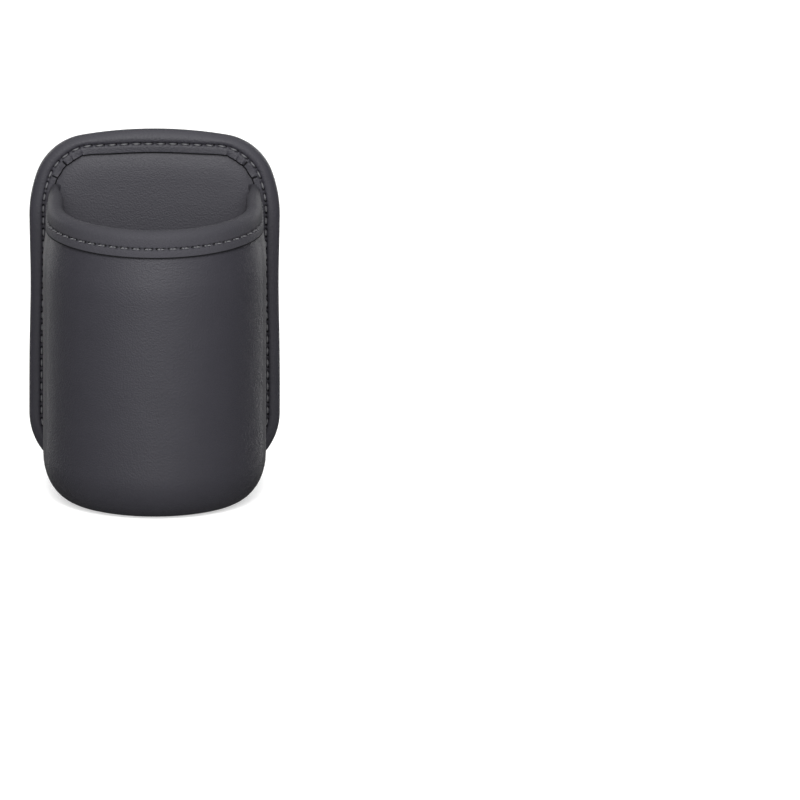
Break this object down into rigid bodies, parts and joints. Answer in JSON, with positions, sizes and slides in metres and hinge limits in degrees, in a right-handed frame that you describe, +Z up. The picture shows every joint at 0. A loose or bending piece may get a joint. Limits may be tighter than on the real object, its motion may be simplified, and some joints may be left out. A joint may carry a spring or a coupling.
{
  "type": "car door cup holder",
  "caption": "Leather cup holder: a round-fronted pouch with a rolled, stitched lip, sewn to a bound rounded back panel that sticks to a car door.",
  "frame": {"origin": "on the flat base, midway across, at the middle of the depth from the pouch's front to the pads", "axes": "+Z up, +Y towards the door that the pads stick to, +X across to the right seen from the front"},
  "size_m": [0.0948, 0.0819, 0.1344],
  "materials": {
    "shell_leather": "charcoal grey, fine grain, satin",
    "binding_leather": "charcoal grey, fine grain, satin",
    "facing_leather": "charcoal grey, fine grain, foam-backed",
    "rear_leather": "charcoal grey, plain",
    "lining": "dark grey, brushed",
    "stiffener": "black, matte",
    "thread": "light grey twisted thread",
    "adhesive_foam": "black foam tape, matte"
  },
  "bodies": {
    "root": {"cup_shell": "shell_leather", "lip_binding": "binding_leather", "back_binding": "binding_leather", "back_facing": "facing_leather", "rear_cover": "rear_leather", "cup_lining": "lining", "cup_former": "stiffener", "back_board": "stiffener", "back_stitching": "thread", "lip_stitching": "thread", "adhesive_pads": "adhesive_foam"}
  },
  "joints": []
}
